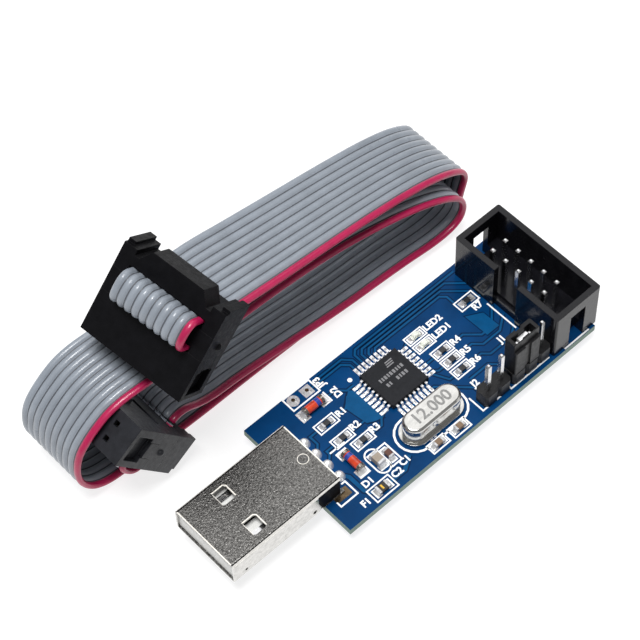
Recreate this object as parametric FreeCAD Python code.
import FreeCAD, Part
import math
import os

# USB microcontroller programmer: a small circuit board with a USB plug at one end
# and a shrouded ten-pin header at the other, and its ten-way ribbon cable, which
# lies folded beside the board. Millimetres, +Z up.
# Board frame: x from the short edge at the USB plug, y from one long edge,
# z from the board's top face. to_row() moves it to the row frame, whose origin is
# the bottom centre of the board assembly.

Vector = FreeCAD.Vector
X_AXIS = Vector(1, 0, 0)
Y_AXIS = Vector(0, 1, 0)
Z_AXIS = Vector(0, 0, 1)

# Driving dimensions
BOARD_LENGTH = 48.5
BOARD_WIDTH = 21.9
BOARD_THICK = 1.2
STUB_LENGTH = 1.9
TAIL_BOTTOM = -(BOARD_THICK + STUB_LENGTH)
PIN_PITCH = 2.54
PIN_SIDE = 0.64
PIN_TOP = 8.5
PIN_HOLE_RADIUS = 0.5
PIN_CHAMFER = 0.16

PLUG_TIP_X = -16.7
PLUG_LENGTH = 19.6
PLUG_REAR_X = PLUG_TIP_X + PLUG_LENGTH
PLUG_CENTRE_Y = 10.8
PLUG_WIDTH = 12.0
PLUG_HEIGHT = 4.5
PLUG_SHEET = 0.3
PLUG_BEND_RADIUS = 0.55
PLUG_TAIL_X = 4.95
PLUG_TAIL_OFFSETS = (-3.6, -1.2, 1.2, 3.6)
PLUG_WINDOW_X = PLUG_TIP_X + 6.4
PLUG_WINDOW_OFFSET = 3.12
PLUG_WINDOW_SIZE = (2.2, 2.5)
PLUG_WINDOW_CORNER = 0.35
PLUG_FOOT_X = 2.9
PLUG_FOOT_OFFSET = 5.55
PLUG_DIMPLE = (1.26, 10.69)
PLUG_DIMPLE_DEPTH = 0.08
PLUG_FRONT_HOLE_X = PLUG_TIP_X + 2.2
PLUG_WALL_OFFSET = (PLUG_WIDTH - PLUG_SHEET) / 2
PLUG_WALLS_Y = (PLUG_CENTRE_Y - PLUG_WALL_OFFSET, PLUG_CENTRE_Y + PLUG_WALL_OFFSET)
PLUG_WALL_END = -1.25
PLUG_EAR_X = -2.0
PLUG_EAR_Z = 1.3
PLUG_EAR_RADIUS = 1.15

HEADER_X = 40.3
HEADER_Y = 0.4
HEADER_WIDTH = 8.9
HEADER_LENGTH = 20.3
HEADER_HEIGHT = 8.8
HEADER_WALL = 0.95
HEADER_FLOOR = 2.4
HEADER_KEY_WIDTH = 4.5
HEADER_WINDOW_WIDTH = 3.0
HEADER_WINDOW_TOP = 6.8

CHIP_CENTRE = (21.0, 13.3)
CHIP_SIDE = 7.0
CHIP_LEAD_PITCH = 0.8
CHIP_STANDOFF = 0.1
CHIP_THICK = 1.0

CRYSTAL_CENTRE = (20.2, 4.9)
CRYSTAL_LENGTH = 11.05
CRYSTAL_WIDTH = 4.65
CRYSTAL_HEIGHT = 3.6
CRYSTAL_LEAD_SPACING = 4.88

STRIP_Y = 2.1
POWER_HEADER_X = 33.91
CLOCK_HEADER_X = 28.4
JUMPER_GAP = 0.12
JUMPER_HEIGHT = 6.9
JUMPER_STEP = 1.7
JUMPER_STRAP_DEPTH = 1.1

RIBBON_WIDTH = 12.7
RIBBON_THICK = 0.9
RIBBON_CENTRE_Y = 22.4

SOCKET_WIDTH = 17.4
SOCKET_HEIGHT = 14.6
SOCKET_DEPTH = 6.2
SOCKET_STRAP_END = 4.3
SOCKET_COVER_END = 8.0
SOCKET_EXIT_PASS = 3.3
SOCKET_CLAMP_PASS = 7.55
SOCKET_FOLD_PROUD = 1.9
SOCKET_EAR = 2.2
SOCKET_STRAP_RISE = 0.6
SOCKET_STRAP_DEPTH = 4.0

ROW_SHIFT = Vector(
    -(PLUG_TIP_X + HEADER_X + HEADER_WIDTH) / 2,
    -BOARD_WIDTH / 2,
    -TAIL_BOTTOM,
)


def box(low, high):
    """A box between two corners."""
    size = [high[i] - low[i] for i in range(3)]
    return Part.makeBox(size[0], size[1], size[2], Vector(*low))


def centred_box(centre_x, centre_y, size_x, size_y, bottom, top):
    """An upright box about a point of the plan."""
    low = (centre_x - size_x / 2, centre_y - size_y / 2, bottom)
    high = (centre_x + size_x / 2, centre_y + size_y / 2, top)
    return box(low, high)


def fused(shapes):
    """One solid from touching shapes, with its shared faces merged."""
    result = shapes[0]
    for other in shapes[1:]:
        result = result.fuse(other)
    return result.removeSplitter()


def cut_all(shape, tools):
    """The shape with every tool taken out of it."""
    for tool in tools:
        shape = shape.cut(tool)
    return shape


def rounded_upright(shape, radius):
    """The shape with its vertical edges rounded."""
    edges = []
    for edge in shape.Edges:
        ends = edge.Vertexes
        if len(ends) == 2:
            way = ends[1].Point.sub(ends[0].Point)
            if abs(way.x) < 1e-6 and abs(way.y) < 1e-6:
                edges.append(edge)
    return shape.makeFillet(radius, edges)


def to_row(shape):
    """The shape moved from the board frame to the row frame."""
    moved = shape.copy()
    moved.translate(ROW_SHIFT)
    return moved


def save(name, shape):
    """Writes one node's STEP file."""
    if not shape.isValid():
        print("INVALID", name)
    shape.exportStep("parts/" + name + ".step")


def save_board_part(name, shape):
    """Writes a node that is drawn in the board frame."""
    save(name, to_row(shape))


# ---- pins and headers ----


def square_pin(x, y, bottom, top):
    """A square pin with both ends chamfered."""
    pin = centred_box(x, y, PIN_SIDE, PIN_SIDE, bottom, top)
    ends = []
    for edge in pin.Edges:
        points = [vertex.Point.z for vertex in edge.Vertexes]
        if abs(points[0] - points[1]) < 1e-6:
            ends.append(edge)
    return pin.makeChamfer(PIN_CHAMFER, ends)


def strip_base(first_x, count):
    """The plastic strip that holds a row of pins, with its corners cut off."""
    base = None
    for i in range(count):
        x = first_x + i * PIN_PITCH
        cell = centred_box(x, STRIP_Y, PIN_PITCH, PIN_PITCH, 0, PIN_PITCH)
        corner = 0.45
        uprights = [e for e in cell.Edges if abs(e.Vertexes[0].Z - e.Vertexes[1].Z) > 1]
        cell = cell.makeChamfer(corner, uprights)
        base = cell if base is None else base.fuse(cell)
    base = base.removeSplitter()
    for i in range(count):
        x = first_x + i * PIN_PITCH
        hole = centred_box(x, STRIP_Y, PIN_SIDE, PIN_SIDE, -1, PIN_PITCH + 1)
        base = base.cut(hole)
    return base


def strip_pins(first_x, count):
    """The pins of one strip."""
    pins = []
    for i in range(count):
        pins.append(square_pin(first_x + i * PIN_PITCH, STRIP_Y, TAIL_BOTTOM, PIN_TOP))
    return Part.makeCompound(pins)


def header_pin_places():
    """The plan places of the box header's ten pins."""
    middle_x = HEADER_X + HEADER_WIDTH / 2 - 0.55
    middle_y = HEADER_Y + HEADER_LENGTH / 2
    places = []
    for row in (-0.5, 0.5):
        for i in range(5):
            x = middle_x + row * PIN_PITCH
            places.append((x, middle_y + (i - 2) * PIN_PITCH))
    return places


def header_shroud():
    """The box header's open-topped shroud, with its key slot and end windows."""
    low = (HEADER_X, HEADER_Y, 0)
    high = (HEADER_X + HEADER_WIDTH, HEADER_Y + HEADER_LENGTH, HEADER_HEIGHT)
    shroud = rounded_upright(box(low, high), 0.35)
    cavity = box(
        (low[0] + HEADER_WALL, low[1] + HEADER_WALL, HEADER_FLOOR),
        (high[0] - HEADER_WALL, high[1] - HEADER_WALL, HEADER_HEIGHT + 1),
    )
    middle_y = HEADER_Y + HEADER_LENGTH / 2
    middle_x = HEADER_X + HEADER_WIDTH / 2
    key = box(
        (low[0] - 1, middle_y - HEADER_KEY_WIDTH / 2, HEADER_FLOOR - 0.6),
        (low[0] + HEADER_WALL + 0.01, middle_y + HEADER_KEY_WIDTH / 2, HEADER_HEIGHT + 1),
    )
    sill = box(
        (low[0] - 1, middle_y - HEADER_KEY_WIDTH / 2, -1),
        (low[0] + 0.5, middle_y + HEADER_KEY_WIDTH / 2, HEADER_FLOOR),
    )
    windows = []
    for wall_y, step in ((low[1], 1), (high[1], -1)):
        outer = wall_y - step
        inner = wall_y + step * (HEADER_WALL + 0.8)
        windows.append(
            box(
                (middle_x - HEADER_WINDOW_WIDTH / 2, min(outer, inner), -1),
                (middle_x + HEADER_WINDOW_WIDTH / 2, max(outer, inner), HEADER_WINDOW_TOP),
            )
        )
    shroud = cut_all(shroud, [cavity, key, sill] + windows)
    for x, y in header_pin_places():
        shroud = shroud.cut(centred_box(x, y, PIN_SIDE, PIN_SIDE, -1, HEADER_FLOOR + 1))
    return shroud


def header_pins():
    """The box header's ten pins."""
    pins = [square_pin(x, y, TAIL_BOTTOM, PIN_TOP) for x, y in header_pin_places()]
    return Part.makeCompound(pins)


def jumper_middle_x():
    """The middle of the two pins that the jumper cap bridges."""
    return POWER_HEADER_X + PIN_PITCH / 2


def jumper_cap():
    """The jumper's plastic cap: open below, two joined sight holes on top, one side stepped."""
    x = jumper_middle_x()
    bottom = PIN_PITCH + JUMPER_GAP
    top = bottom + JUMPER_HEIGHT
    cap = rounded_upright(centred_box(x, STRIP_Y, 4.9, 2.45, bottom, top), 0.25)
    waist = []
    for side in (-1, 1):
        y = STRIP_Y + side * 2.45 / 2
        waist.append(centred_box(x, y, 1.1, 0.5, bottom - 1, top + 1))
    pocket = centred_box(x, STRIP_Y, 4.1, 1.55, bottom - 1, top - JUMPER_STEP - 0.9)
    sights = []
    for side in (-0.5, 0.5):
        sights.append(centred_box(x + side * PIN_PITCH, STRIP_Y, 1.3, 1.2, top - 3, top + 1))
    step = box(
        (x - 3, STRIP_Y - 2.45 / 2 - 1, top - JUMPER_STEP), (x + 3, STRIP_Y - 0.75, top + 1)
    )
    slot = centred_box(x, STRIP_Y, 2.0, 0.9, top - JUMPER_STRAP_DEPTH, top + 1)
    return cut_all(cap, waist + [pocket, step, slot] + sights)


def jumper_clip():
    """The jumper's sprung contact: leaves beside the pins, a bridge, a strap in the top slot."""
    x = jumper_middle_x()
    bottom = PIN_PITCH + JUMPER_GAP + 0.3
    top = bottom + 3.6
    sheet = 0.25
    gap = PIN_SIDE / 2 + 0.03
    leaves = []
    for side in (-1, 1):
        y = STRIP_Y + side * (gap + sheet / 2)
        leaves.append(centred_box(x, y, 3.9, sheet, bottom, top))
    bridge = centred_box(x, STRIP_Y, 0.9, 2 * gap + 0.1, bottom + 0.4, bottom + 1.4)
    slot_floor = PIN_PITCH + JUMPER_GAP + JUMPER_HEIGHT - JUMPER_STRAP_DEPTH
    strap_low = slot_floor + 0.03
    strap_top = strap_low + 0.3
    strap = [centred_box(x, STRIP_Y, 1.76, 0.8, strap_low, strap_top)]
    for side in (-1, 1):
        strap.append(centred_box(x + side * 0.77, STRIP_Y, 0.22, 0.8, top - 0.3, strap_top))
    return fused(leaves + [bridge] + strap)


# ---- USB plug ----


def plug_outline():
    """The plug shell as a full block, its long edges rounded like bent sheet."""
    half = PLUG_WIDTH / 2
    low = (PLUG_TIP_X, PLUG_CENTRE_Y - half, 0)
    outer = box(low, (PLUG_REAR_X, PLUG_CENTRE_Y + half, PLUG_HEIGHT))
    long_edges = []
    for edge in outer.Edges:
        way = edge.Vertexes[1].Point.sub(edge.Vertexes[0].Point)
        if abs(way.x) > 1:
            long_edges.append(edge)
    return outer.makeFillet(PLUG_BEND_RADIUS, long_edges)


def plug_hollow():
    """The open inside of the plug's shell."""
    inside = PLUG_WIDTH / 2 - PLUG_SHEET
    low = (PLUG_TIP_X - 1, PLUG_CENTRE_Y - inside, PLUG_SHEET)
    high = (PLUG_REAR_X + 1, PLUG_CENTRE_Y + inside, PLUG_HEIGHT - PLUG_SHEET)
    return box(low, high)


def plug_windows():
    """The two latch windows, cut through the shell's top and bottom."""
    windows = []
    for offset in (-PLUG_WINDOW_OFFSET, PLUG_WINDOW_OFFSET):
        y = PLUG_CENTRE_Y + offset
        hole = centred_box(PLUG_WINDOW_X, y, *PLUG_WINDOW_SIZE, -1, PLUG_HEIGHT + 1)
        windows.append(rounded_upright(hole, PLUG_WINDOW_CORNER))
    return windows


def plug_side_holes():
    """The two small holes that run through both side walls."""
    holes = []
    for x, radius in ((PLUG_FRONT_HOLE_X, 0.25), (PLUG_EAR_X, 0.35)):
        start = Vector(x, PLUG_CENTRE_Y - PLUG_WIDTH / 2 - 1, PLUG_EAR_Z)
        holes.append(Part.makeCylinder(radius, PLUG_WIDTH + 2, start, Y_AXIS))
    return holes


def plug_wall_cuts():
    """What is taken off behind the side walls, and off the bottom over the board."""
    cuts = []
    length = PLUG_REAR_X + 1 - PLUG_WALL_END
    middle = PLUG_WALL_END + length / 2
    for y in PLUG_WALLS_Y:
        cuts.append(centred_box(middle, y, length, PLUG_SHEET, -1, PLUG_HEIGHT - PLUG_SHEET))
    inside = PLUG_WIDTH / 2 - PLUG_SHEET
    low = (0.1, PLUG_CENTRE_Y - inside, -1)
    cuts.append(box(low, (PLUG_REAR_X + 1, PLUG_CENTRE_Y + inside, PLUG_SHEET + 0.5)))
    return cuts


def plug_ears(outer):
    """The rounded ear that ends each side wall, held within the shell's outline."""
    ears = []
    for y in PLUG_WALLS_Y:
        start = Vector(PLUG_EAR_X, y - PLUG_SHEET / 2, PLUG_EAR_Z)
        ear = Part.makeCylinder(PLUG_EAR_RADIUS, PLUG_SHEET, start, Y_AXIS)
        ears.append(ear.common(outer))
    return ears


def plug_dimple():
    """A shallow ring pressed into the shell's top."""
    start = Vector(*PLUG_DIMPLE, PLUG_HEIGHT - PLUG_DIMPLE_DEPTH)
    ring = Part.makeCylinder(0.85, 1, start, Z_AXIS)
    return ring.cut(Part.makeCylinder(0.55, 1, start, Z_AXIS))


def plug_feet():
    """The two feet that run back over the board and down through it."""
    feet = []
    for side in (-1, 1):
        y = PLUG_CENTRE_Y + side * PLUG_FOOT_OFFSET
        strip = box((-0.4, y - 0.3, 0), (PLUG_FOOT_X + 0.7, y + 0.3, PLUG_SHEET))
        leg = centred_box(PLUG_FOOT_X, y, 1.4, PLUG_SHEET, TAIL_BOTTOM + 0.1, PLUG_SHEET)
        feet += [strip, leg]
    return feet


def plug_shell():
    """The plug's folded steel shell, with its windows, side holes and feet."""
    outer = plug_outline()
    cuts = [plug_hollow()] + plug_windows() + plug_wall_cuts() + [plug_dimple()]
    shell = cut_all(outer, cuts)
    shell = cut_all(fused([shell] + plug_ears(outer)), plug_side_holes())
    return fused([shell] + plug_feet())


def plug_contacts():
    """The plug's four contacts, from the blade on the tongue to the tail in the board."""
    contacts = []
    top = 3.1
    low = 0.55
    sheet = 0.2
    for offset in PLUG_TAIL_OFFSETS:
        y = PLUG_CENTRE_Y + offset
        blade = box((PLUG_TIP_X + 1.3, y - 0.5, top - sheet), (-5, y + 0.5, top))
        neck = box((-5, y - 0.3, top - sheet), (1.0, y + 0.3, top))
        drop = box((0.8, y - 0.3, low - sheet), (1.0, y + 0.3, top))
        foot = box((0.8, y - 0.3, low - sheet), (PLUG_TAIL_X + 0.15, y + 0.3, low))
        tail = box(
            (PLUG_TAIL_X - 0.15, y - 0.3, TAIL_BOTTOM),
            (PLUG_TAIL_X + 0.15, y + 0.3, low),
        )
        contacts.append(fused([blade, neck, drop, foot, tail]))
    return Part.makeCompound(contacts)


def plug_tongue():
    """The plug's white insulator: the tongue in the shell and the block behind it."""
    half = PLUG_WIDTH / 2 - PLUG_SHEET
    tongue = box(
        (PLUG_TIP_X + 0.35, PLUG_CENTRE_Y - half, PLUG_SHEET),
        (-4.6, PLUG_CENTRE_Y + half, 2.9),
    )
    block = box(
        (-4.6, PLUG_CENTRE_Y - half, PLUG_SHEET),
        (0.1, PLUG_CENTRE_Y + half, PLUG_HEIGHT - PLUG_SHEET),
    )
    rear = box(
        (0.1, PLUG_CENTRE_Y - half + 0.9, 0.1),
        (PLUG_TIP_X + PLUG_LENGTH - 0.2, PLUG_CENTRE_Y + half - 0.9, PLUG_HEIGHT - PLUG_SHEET),
    )
    return fused([tongue, block, rear]).cut(plug_contacts())


# ---- chips and small parts ----


def chip_body():
    """The microcontroller's plastic body: two shallow frustums about its mid-plane."""
    x, y = CHIP_CENTRE
    middle = CHIP_STANDOFF + CHIP_THICK / 2
    slope = 0.12
    halves = []
    for far, side in ((CHIP_STANDOFF, CHIP_SIDE - slope), (CHIP_STANDOFF + CHIP_THICK, CHIP_SIDE - slope)):
        wires = []
        for z, width in ((middle, CHIP_SIDE), (far, side)):
            h = width / 2
            corners = [(x - h, y - h), (x + h, y - h), (x + h, y + h), (x - h, y + h)]
            points = [Vector(a, b, z) for a, b in corners]
            wires.append(Part.makePolygon(points + [points[0]]))
        halves.append(Part.makeLoft(wires, True, True))
    body = fused(halves)
    top = CHIP_STANDOFF + CHIP_THICK
    dot = Part.makeCylinder(0.4, 0.08, Vector(x - 2.6, y + 2.6, top - 0.05), Z_AXIS)
    return body.cut(dot)


def chip_leads():
    """The microcontroller's gull-wing leads, eight to a side."""
    x, y = CHIP_CENTRE
    half = CHIP_SIDE / 2
    middle = CHIP_STANDOFF + CHIP_THICK / 2
    profile = [
        (half, middle + 0.065),
        (half + 0.35, middle + 0.065),
        (half + 0.52, 0.15),
        (half + 1.0, 0.15),
        (half + 1.0, 0.02),
        (half + 0.42, 0.02),
        (half + 0.25, middle - 0.065),
        (half, middle - 0.065),
    ]
    leads = []
    for quarter in range(4):
        for i in range(8):
            along = (i - 3.5) * CHIP_LEAD_PITCH
            points = [Vector(a, along - 0.18, z) for a, z in profile]
            face = Part.Face(Part.makePolygon(points + [points[0]]))
            lead = face.extrude(Vector(0, 0.36, 0))
            lead.rotate(Vector(0, 0, 0), Z_AXIS, 90 * quarter)
            lead.translate(Vector(x, y, 0))
            leads.append(lead)
    return Part.makeCompound(leads)


def stadium(centre, length, width, bottom, top):
    """An upright solid whose plan is a long round-ended oval."""
    x, y = centre
    radius = width / 2
    reach = length / 2 - radius
    middle = centred_box(x, y, 2 * reach, width, bottom, top)
    ends = []
    for side in (-1, 1):
        start = Vector(x + side * reach, y, bottom)
        ends.append(Part.makeCylinder(radius, top - bottom, start, Z_AXIS))
    return fused([middle] + ends)


def crystal_parts():
    """The crystal's base flange, drawn can and two leads."""
    base = stadium(CRYSTAL_CENTRE, CRYSTAL_LENGTH, CRYSTAL_WIDTH, 0.05, 0.6)
    can = stadium(CRYSTAL_CENTRE, CRYSTAL_LENGTH - 0.9, CRYSTAL_WIDTH - 0.9, 0.6, CRYSTAL_HEIGHT)
    rim = [e for e in can.Edges if min(v.Z for v in e.Vertexes) > CRYSTAL_HEIGHT - 0.01]
    can = can.makeFillet(0.5, rim)
    leads = []
    for side in (-0.5, 0.5):
        start = Vector(CRYSTAL_CENTRE[0] + side * CRYSTAL_LEAD_SPACING, CRYSTAL_CENTRE[1], TAIL_BOTTOM)
        leads.append(Part.makeCylinder(0.215, 0.3 - TAIL_BOTTOM, start, Z_AXIS))
    leads = Part.makeCompound(leads)
    return base.cut(leads), can, leads


def chip_part(centre, size, along_y):
    """A chip resistor, capacitor or fuse: its body with raised end caps."""
    length, width, height = size
    cap = length * 0.2
    body = centred_box(0, 0, length - 2 * cap, width, 0.03, height - 0.03)
    ends = []
    for side in (-1, 1):
        ends.append(
            centred_box(side * (length - cap) / 2, 0, cap, width + 0.02, 0, height)
        )
    part = fused([body] + ends)
    if along_y:
        part.rotate(Vector(0, 0, 0), Z_AXIS, 90)
    part.translate(Vector(centre[0], centre[1], 0.03))
    return part


def glass_diode(centre, along_y):
    """A small glass diode lying on its two round end caps."""
    length = 3.5
    radius = 0.72
    cap = 0.45
    start = Vector(-length / 2, 0, radius + 0.03)
    body = Part.makeCylinder(radius - 0.06, length, start, X_AXIS)
    pieces = [body]
    for x in (-length / 2, length / 2 - cap):
        pieces.append(Part.makeCylinder(radius, cap, Vector(x, 0, radius + 0.03), X_AXIS))
    part = fused(pieces)
    if along_y:
        part.rotate(Vector(0, 0, 0), Z_AXIS, 90)
    part.translate(Vector(centre[0], centre[1], 0))
    return part


def light(centre):
    """A small surface-mount indicator light: its base and moulded lens."""
    base = centred_box(centre[0], centre[1], 1.6, 0.8, 0.03, 0.33)
    lens = centred_box(centre[0], centre[1], 1.0, 0.78, 0.33, 0.75)
    top = [e for e in lens.Edges if min(v.Z for v in e.Vertexes) > 0.74]
    return fused([base, lens.makeChamfer(0.1, top)])


# size: length, width, height of each kind of chip part
RESISTOR = (1.6, 0.8, 0.45)
SMALL_CAPACITOR = (1.6, 0.85, 0.75)
LARGE_CAPACITOR = (2.0, 1.25, 1.15)
FUSE = (2.0, 1.25, 0.6)

RESISTORS = {
    "resistor_1": (9.14, 14.65),
    "resistor_2": (9.18, 11.34),
    "resistor_3": (11.03, 9.12),
    "resistor_4": (29.46, 12.1),
    "resistor_5": (29.42, 10.07),
    "resistor_6": (29.37, 7.95),
    "resistor_7": (38.13, 15.86),
}


# ---- board and solder ----


def pin_places():
    """Every plated hole: plan place and whether a square pin fills it."""
    places = list(header_pin_places())
    for i in range(3):
        places.append((POWER_HEADER_X + i * PIN_PITCH, STRIP_Y))
    for i in range(2):
        places.append((CLOCK_HEADER_X + i * PIN_PITCH, STRIP_Y))
    for offset in PLUG_TAIL_OFFSETS:
        places.append((PLUG_TAIL_X, PLUG_CENTRE_Y + offset))
    for side in (-0.5, 0.5):
        places.append((CRYSTAL_CENTRE[0] + side * CRYSTAL_LEAD_SPACING, CRYSTAL_CENTRE[1]))
    return places


JUMPER_PADS = ((8.29, 20.7), (10.83, 20.6))


def circuit_board():
    """The board, drilled for every pin, with slots for the plug's feet."""
    board = box((0, 0, -BOARD_THICK), (BOARD_LENGTH, BOARD_WIDTH, 0))
    for x, y in pin_places() + [place for place in JUMPER_PADS]:
        start = Vector(x, y, -BOARD_THICK - 1)
        board = board.cut(Part.makeCylinder(PIN_HOLE_RADIUS, BOARD_THICK + 2, start, Z_AXIS))
    for side in (-1, 1):
        y = PLUG_CENTRE_Y + side * PLUG_FOOT_OFFSET
        board = board.cut(stadium((PLUG_FOOT_X, y), 2.2, 0.8, -BOARD_THICK - 1, 1))
    return board


def solder_joints(pieces):
    """A solder cone under the board round each tail."""
    joints = []
    for x, y in pin_places():
        start = Vector(x, y, -BOARD_THICK)
        cone = Part.makeCone(0.85, 0.5, 1.0, start, Vector(0, 0, -1))
        joints.append(cone)
    for side in (-1, 1):
        y = PLUG_CENTRE_Y + side * PLUG_FOOT_OFFSET
        joints.append(stadium((PLUG_FOOT_X, y), 2.8, 1.4, -BOARD_THICK - 0.8, -BOARD_THICK))
    return cut_all(Part.makeCompound(joints), pieces)


def jumper_pad_solder():
    """The two spare holes, filled with solder that stands a little proud."""
    plugs = []
    for x, y in JUMPER_PADS:
        start = Vector(x, y, -BOARD_THICK)
        plug = Part.makeCylinder(PIN_HOLE_RADIUS, BOARD_THICK, start, Z_AXIS)
        cap = Part.makeCone(0.75, 0.4, 0.28, Vector(x, y, 0), Z_AXIS)
        foot = Part.makeCone(0.75, 0.4, 0.28, Vector(x, y, -BOARD_THICK), Vector(0, 0, -1))
        plugs.append(fused([plug, cap, foot]))
    return Part.makeCompound(plugs)


# ---- ribbon cable ----

# Socket A is propped on the folded cable, mating end down; socket B lies inside the
# cable's left-hand loop, mating end up. Each has a middle, the direction of its height
# (strain relief to mating face, degrees from +X in the XZ plane), and small turns.
SOCKET_A_MIDDLE = Vector(-20.3, 20.2, 26.1)
SOCKET_A_HEIGHT_ANGLE = -131.3
SOCKET_A_YAW = 8.4
SOCKET_A_ROLL = 6.8
SOCKET_B_MIDDLE = Vector(-29.3, RIBBON_CENTRE_Y, 9.1)
SOCKET_B_HEIGHT_ANGLE = 124.4

# The twisted stretch where the cable leaves socket A: middles, and how far each
# section has turned from the socket's own frame to the cable's plane.
TWIST_MIDDLES = (Vector(-11.0, 21.8, 24.8), Vector(-6.6, 22.5, 23.65))
TWIST_SLOPES = (-20.0, -14.0)
TWIST_SHARES = (0.6, 0.25)

# The cable's route in its plane, x and z: down from socket A to the outer right fold,
# back along the ground, round the left loop, right again, the inner right fold, and
# back to socket B. Every value is the middle of the cable's thickness.
ROUTE = [
    (-2.5, 22.75),
    (5.0, 21.1),
    (14.5, 18.5),
    (24.0, 15.4),
    (31.2, 12.4),
    (35.3, 9.3),
    (34.3, 5.0),
    (33.3, 0.9),
    (27.5, 0.5),
    (19.0, 0.7),
    (6.0, 0.45),
    (-8.0, 0.75),
    (-20.0, 0.45),
    (-29.5, 0.55),
    (-36.2, 1.4),
    (-39.6, 5.6),
    (-39.3, 11.2),
    (-36.2, 14.6),
    (-31.6, 17.5),
    (-25.0, 17.9),
    (-14.0, 16.9),
    (-2.0, 17.1),
    (10.0, 16.3),
    (21.5, 13.7),
    (28.8, 10.5),
    (32.3, 7.3),
    (32.0, 3.1),
    (27.9, 1.6),
    (20.0, 1.95),
    (8.0, 1.65),
    (-3.0, 2.5),
    (-11.5, 3.3),
    (-18.0, 5.6),
    (-22.4, 8.7),
]


def plane_direction(angle):
    """The unit vector at an angle from +X in the XZ plane."""
    return Vector(math.cos(math.radians(angle)), 0, math.sin(math.radians(angle)))


def socket_placement(middle, height_angle, across_sign, yaw, roll):
    """Socket frame: x across, y from strain relief to mating face, z fold to exit."""
    across = Vector(0, across_sign, 0)
    height = plane_direction(height_angle)
    depth = across.cross(height)
    turn = FreeCAD.Rotation(across, height, depth, "XYZ")
    turn = FreeCAD.Rotation(X_AXIS, roll).multiply(turn)
    turn = FreeCAD.Rotation(Z_AXIS, yaw).multiply(turn)
    corner = Vector(0, SOCKET_HEIGHT / 2, SOCKET_DEPTH / 2)
    return FreeCAD.Placement(middle.sub(turn.multVec(corner)), turn)


def placed(shape, placement):
    """A copy of the shape moved by a placement."""
    moved = shape.copy()
    moved.transformShape(placement.toMatrix(), True)
    return moved


def turn_between(before, corner, after):
    """The signed turn at a corner of a flat route, and the two unit directions."""
    first = (corner[0] - before[0], corner[1] - before[1])
    second = (after[0] - corner[0], after[1] - corner[1])
    long_first = math.hypot(*first)
    long_second = math.hypot(*second)
    first = (first[0] / long_first, first[1] / long_first)
    second = (second[0] / long_second, second[1] / long_second)
    cross = first[0] * second[1] - first[1] * second[0]
    dot = first[0] * second[0] + first[1] * second[1]
    return math.atan2(cross, dot), first, second, min(long_first, long_second)


def side_edges(points, offset, lift):
    """One side of the cable's thickness: straight runs joined by tangent arcs."""
    edges = []
    radii = []
    length = 0.0
    last = None
    for i in range(1, len(points) - 1):
        turn, first, second, shorter = turn_between(points[i - 1], points[i], points[i + 1])
        reach = 0.45 * shorter
        radius = reach / math.tan(abs(turn) / 2)
        side = math.copysign(1, turn)
        start = (points[i][0] - first[0] * reach, points[i][1] - first[1] * reach)
        centre = (start[0] - side * radius * first[1], start[1] + side * radius * first[0])
        arm = radius - side * offset
        angle = math.atan2(first[1], first[0]) - side * math.pi / 2
        places = []
        for part in (0, 0.5, 1):
            a = angle + turn * part
            places.append((centre[0] + arm * math.cos(a), centre[1] + arm * math.sin(a)))
        if last is None:
            first_point = points[0]
            last = (first_point[0] - first[1] * offset, first_point[1] + first[0] * offset)
        line_end = places[0]
        edges.append(Part.LineSegment(lift(last), lift(line_end)).toShape())
        length += math.dist(last, line_end)
        edges.append(Part.Arc(lift(places[0]), lift(places[1]), lift(places[2])).toShape())
        length += arm * abs(turn)
        radii.append(radius)
        last = places[2]
        if i == len(points) - 2:
            end = points[-1]
            goal = (end[0] - second[1] * offset, end[1] + second[0] * offset)
            edges.append(Part.LineSegment(lift(last), lift(goal)).toShape())
            length += math.dist(last, goal)
    return edges, radii, length


def cable_slab(points, lift, across):
    """A flat cable along a flat route: its side view, drawn out across its width."""
    half = RIBBON_THICK / 2
    left, radii, _ = side_edges(points, half, lift)
    right, _, _ = side_edges(points, -half, lift)
    _, _, length = side_edges(points, 0, lift)
    caps = []
    for i in (0, -1):
        ends = (left[i].Vertexes[i].Point, right[i].Vertexes[i].Point)
        caps.append(Part.LineSegment(ends[0], ends[1]).toShape())
    outline = Part.Wire(Part.__sortEdges__(left + right + caps))
    slab = Part.Face(outline).extrude(across)
    return slab, radii, length


def in_plane(point):
    """A point of the cable's route on the near edge of its plane."""
    return Vector(point[0], RIBBON_CENTRE_Y - RIBBON_WIDTH / 2, point[1])


def in_socket(point):
    """A point of the cable's path inside a socket, in the socket's frame."""
    return Vector(-RIBBON_WIDTH / 2, point[0], point[1])


def socket_b_path(placement):
    """The end of the route, through socket B: its slit, its fold and its clamp."""
    path = []
    for height, depth in (
        (SOCKET_EXIT_PASS, -SOCKET_FOLD_PROUD),
        (SOCKET_CLAMP_PASS, -SOCKET_FOLD_PROUD),
        (SOCKET_CLAMP_PASS, SOCKET_DEPTH - 0.4),
    ):
        place = placement.multVec(Vector(0, height, depth))
        path.append((place.x, place.z))
    return path


def section(middle, across, along):
    """The cable's cross-section at one place, as a closed wire."""
    across = Vector(across).normalize()
    up = Vector(across).cross(along).normalize()
    side = across.multiply(RIBBON_WIDTH / 2)
    rise = up.multiply(RIBBON_THICK / 2)
    corners = [
        middle.sub(side).sub(rise),
        middle.add(side).sub(rise),
        middle.add(side).add(rise),
        middle.sub(side).add(rise),
    ]
    return Part.makePolygon(corners + [corners[0]])


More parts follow.
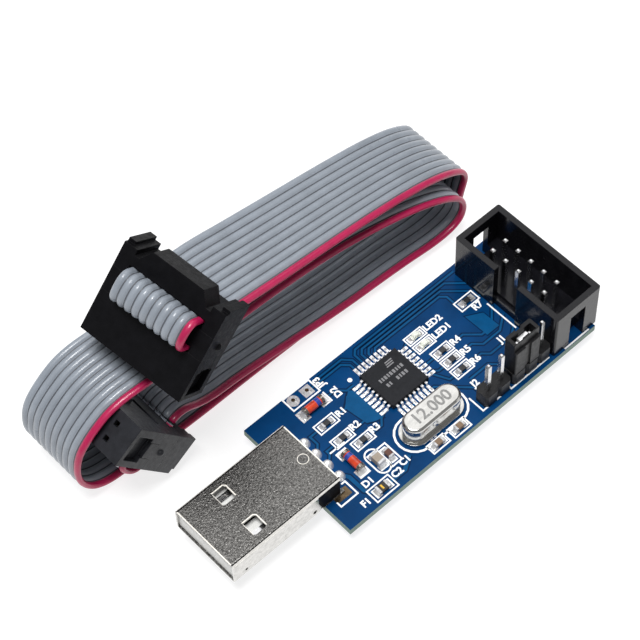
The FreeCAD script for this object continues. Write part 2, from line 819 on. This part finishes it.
def ribbon_cable(socket_a, socket_b):
    """The whole cable: fold in socket A, twisted stretch, route, fold in socket B."""
    proud = 1.5
    fold = [
        (SOCKET_CLAMP_PASS, SOCKET_DEPTH - 0.4),
        (SOCKET_CLAMP_PASS, -SOCKET_FOLD_PROUD),
        (SOCKET_EXIT_PASS, -SOCKET_FOLD_PROUD),
        (SOCKET_EXIT_PASS, SOCKET_DEPTH + proud),
    ]
    first, fold_radii, fold_length = cable_slab(fold, in_socket, Vector(RIBBON_WIDTH, 0, 0))
    first = placed(first, socket_a)
    start = socket_a.multVec(Vector(0, SOCKET_EXIT_PASS, SOCKET_DEPTH + proud))
    across = socket_a.Rotation.multVec(X_AXIS)
    along = socket_a.Rotation.multVec(Z_AXIS)
    wires = [section(start, across, along)]
    middles = [start]
    for middle, slope, share in zip(TWIST_MIDDLES, TWIST_SLOPES, TWIST_SHARES):
        mixed = Vector(across).multiply(share).sub(Vector(Y_AXIS).multiply(1 - share))
        wires.append(section(middle, mixed, plane_direction(slope)))
        middles.append(middle)
    route_slope = math.degrees(
        math.atan2(ROUTE[1][1] - ROUTE[0][1], ROUTE[1][0] - ROUTE[0][0])
    )
    join = Vector(ROUTE[0][0], RIBBON_CENTRE_Y, ROUTE[0][1])
    wires.append(section(join, Vector(0, -1, 0), plane_direction(route_slope)))
    middles.append(join)
    twist = Part.makeLoft(wires, True, True)
    twist_length = sum(middles[i].sub(middles[i - 1]).Length for i in range(1, len(middles)))
    route = ROUTE + socket_b_path(socket_b)
    run, radii, run_length = cable_slab(route, in_plane, Vector(0, RIBBON_WIDTH, 0))
    cable = fused([first, twist, run])
    length = fold_length + twist_length + run_length
    print("cable radii", [round(r, 1) for r in fold_radii + radii])
    print("cable length %.1f mm" % length)
    ratio = cable.Volume / (length * RIBBON_WIDTH * RIBBON_THICK)
    print("cable volume over section times length %.3f" % ratio, "solids", len(cable.Solids))
    return cable


# ---- sockets ----


def socket_body():
    """The socket's body: contact cells, key and recessed ends, y from 8 to the face."""
    half = SOCKET_WIDTH / 2
    body = box((-half, SOCKET_COVER_END, 0), (half, SOCKET_HEIGHT, SOCKET_DEPTH))
    key = box(
        (-2.1, SOCKET_HEIGHT - 5.2, SOCKET_DEPTH),
        (2.1, SOCKET_HEIGHT - 0.6, SOCKET_DEPTH + 0.7),
    )
    body = fused([body, key])
    tools = []
    for side in (-1, 1):
        tools.append(
            centred_box(side * half, SOCKET_HEIGHT - 2.6, 1.8, 3.6, 1.0, SOCKET_DEPTH - 1.2)
        )
        tools.append(
            centred_box(side * half, SOCKET_COVER_END, 1.2, 4.4, 1.8, SOCKET_DEPTH - 1.8)
        )
    for x, z in contact_places():
        tools.append(cell_space(x, z))
    return cut_all(body, tools)


def contact_places():
    """The ten contact cells, across and in depth."""
    places = []
    for row in (-0.5, 0.5):
        for i in range(5):
            places.append(((i - 2) * PIN_PITCH, SOCKET_DEPTH / 2 + row * PIN_PITCH))
    return places


def cell_space(x, z):
    """The hollow of one contact cell, from the clamp face to its square mouth."""
    cell = box(
        (x - 0.75, SOCKET_COVER_END - 1, z - 0.75), (x + 0.75, SOCKET_HEIGHT - 0.8, z + 0.75)
    )
    mouth = box((x - 0.42, SOCKET_HEIGHT - 1.5, z - 0.42), (x + 0.42, SOCKET_HEIGHT + 1, z + 0.42))
    return cell.fuse(mouth)


def socket_contacts():
    """The ten forked contacts in the body's cells."""
    contacts = []
    for x, z in contact_places():
        plate = box(
            (x - 0.6, SOCKET_COVER_END, z - 0.7), (x + 0.6, SOCKET_HEIGHT - 0.9, z - 0.5)
        )
        notch = box((x - 0.15, SOCKET_COVER_END - 1, z - 1), (x + 0.15, SOCKET_COVER_END + 1.2, z))
        spring = box(
            (x - 0.3, SOCKET_HEIGHT - 3.6, z + 0.42), (x + 0.3, SOCKET_HEIGHT - 0.9, z + 0.6)
        )
        bridge = box(
            (x - 0.3, SOCKET_HEIGHT - 3.9, z - 0.6), (x + 0.3, SOCKET_HEIGHT - 3.6, z + 0.6)
        )
        contacts.append(fused([plate.cut(notch), spring, bridge]))
    return Part.makeCompound(contacts)


def socket_cover():
    """The clamping cover, between the two passes of the cable, with its end legs."""
    half = SOCKET_WIDTH / 2
    cover = box((-half, SOCKET_STRAP_END, 0), (half, SOCKET_COVER_END, SOCKET_DEPTH))
    raised = box(
        (-half + SOCKET_EAR + 0.05, SOCKET_EXIT_PASS + RIBBON_THICK / 2, 0.4),
        (half - SOCKET_EAR - 0.05, SOCKET_STRAP_END, SOCKET_DEPTH - 0.4),
    )
    clamp = box(
        (-RIBBON_WIDTH / 2 - 0.1, SOCKET_CLAMP_PASS - RIBBON_THICK / 2, -1),
        (RIBBON_WIDTH / 2 + 0.1, SOCKET_COVER_END + 1, SOCKET_DEPTH + 1),
    )
    legs = []
    for side in (-1, 1):
        legs.append(
            centred_box(side * (half - 0.3), SOCKET_COVER_END + 0.95, 0.6, 1.9, 1.85, SOCKET_DEPTH - 1.85)
        )
        boss = Vector(side * (half - 0.1), SOCKET_STRAP_END + 1.9, SOCKET_DEPTH / 2)
        legs.append(Part.makeSphere(0.55, boss))
    return fused([cover, raised] + legs).cut(clamp)


def socket_strain_relief():
    """The strain relief: a bar over the cable, two ears and a plate with sloped shoulders."""
    half = SOCKET_WIDTH / 2
    slot = half - SOCKET_EAR
    bar_top = SOCKET_EXIT_PASS - RIBBON_THICK / 2
    bar = box((-half, bar_top - 1.5, 0), (half, bar_top, SOCKET_DEPTH))
    ears = []
    for side in (-1, 1):
        low = min(side * half, side * slot)
        high = max(side * half, side * slot)
        ear = box((low, 0.5, 0), (high, SOCKET_STRAP_END, SOCKET_DEPTH))
        ears.append(ear)
        step = min(side * half, side * (half - 1.2))
        ears.append(box((step, 0, 0.8), (step + 1.2, 0.5, SOCKET_DEPTH)))
    foot = slot - 0.8
    crown = slot - 2.2
    outline = [
        (-foot, bar_top),
        (-foot, bar_top - 1.5),
        (-crown, -SOCKET_STRAP_RISE),
        (crown, -SOCKET_STRAP_RISE),
        (foot, bar_top - 1.5),
        (foot, bar_top),
    ]
    points = [Vector(x, y, 0) for x, y in outline]
    plate = Part.Face(Part.makePolygon(points + [points[0]]))
    plate = plate.extrude(Vector(0, 0, SOCKET_STRAP_DEPTH))
    return fused([bar, plate] + ears)


def save_socket(name, placement, cable):
    """Writes the four nodes of one socket; the cable's own space is cut out of each."""
    pieces = {
        "body": socket_body(),
        "cover": socket_cover(),
        "strain_relief": socket_strain_relief(),
        "contacts": socket_contacts(),
    }
    for piece, shape in pieces.items():
        save(name + "_" + piece, placed(shape, placement).cut(cable))


def main():
    os.makedirs("parts", exist_ok=True)
    board_pins = header_pins()
    power_pins = strip_pins(POWER_HEADER_X, 3)
    clock_pins = strip_pins(CLOCK_HEADER_X, 2)
    contacts = plug_contacts()
    shell = plug_shell()
    crystal_base, crystal_can, crystal_leads = crystal_parts()

    save_board_part("circuit_board", circuit_board())
    tails = [board_pins, power_pins, clock_pins, contacts, crystal_leads, shell]
    save_board_part("through_hole_solder", solder_joints(tails))
    save_board_part("jumper_pad_solder", jumper_pad_solder())

    save_board_part("usb_shell", shell)
    save_board_part("usb_tongue", plug_tongue())
    save_board_part("usb_contacts", contacts)

    save_board_part("microcontroller_body", chip_body())
    save_board_part("microcontroller_leads", chip_leads())
    save_board_part("crystal_base", crystal_base)
    save_board_part("crystal_can", crystal_can)
    save_board_part("crystal_leads", crystal_leads)

    save_board_part("isp_header_shroud", header_shroud())
    save_board_part("isp_header_pins", board_pins)
    save_board_part("power_header_base", strip_base(POWER_HEADER_X, 3))
    save_board_part("power_header_pins", power_pins)
    save_board_part("clock_header_base", strip_base(CLOCK_HEADER_X, 2))
    save_board_part("clock_header_pins", clock_pins)
    save_board_part("jumper_cap", jumper_cap())
    save_board_part("jumper_clip", jumper_clip())

    save_board_part("diode_1", glass_diode((7.5, 7.45), True))
    save_board_part("diode_2", glass_diode((9.55, 17.85), False))
    for name, centre in RESISTORS.items():
        save_board_part(name, chip_part(centre, RESISTOR, False))
    save_board_part("capacitor_1", chip_part((12.0, 5.0), SMALL_CAPACITOR, True))
    save_board_part("capacitor_2", chip_part((10.2, 5.3), LARGE_CAPACITOR, True))
    save_board_part("capacitor_3", chip_part((18.26, 1.47), SMALL_CAPACITOR, False))
    save_board_part("capacitor_4", chip_part((22.22, 1.35), SMALL_CAPACITOR, False))
    save_board_part("light_1", light((28.4, 14.7)))
    save_board_part("light_2", light((28.4, 16.6)))
    save_board_part("fuse", chip_part((7.7, 1.67), FUSE, False))

    socket_a = socket_placement(
        SOCKET_A_MIDDLE, SOCKET_A_HEIGHT_ANGLE, -1, SOCKET_A_YAW, SOCKET_A_ROLL
    )
    socket_b = socket_placement(SOCKET_B_MIDDLE, SOCKET_B_HEIGHT_ANGLE, 1, 0, 0)
    cable = ribbon_cable(socket_a, socket_b)
    save("ribbon_cable", cable)
    save_socket("socket_a", socket_a, cable)
    save_socket("socket_b", socket_b, cable)


main()
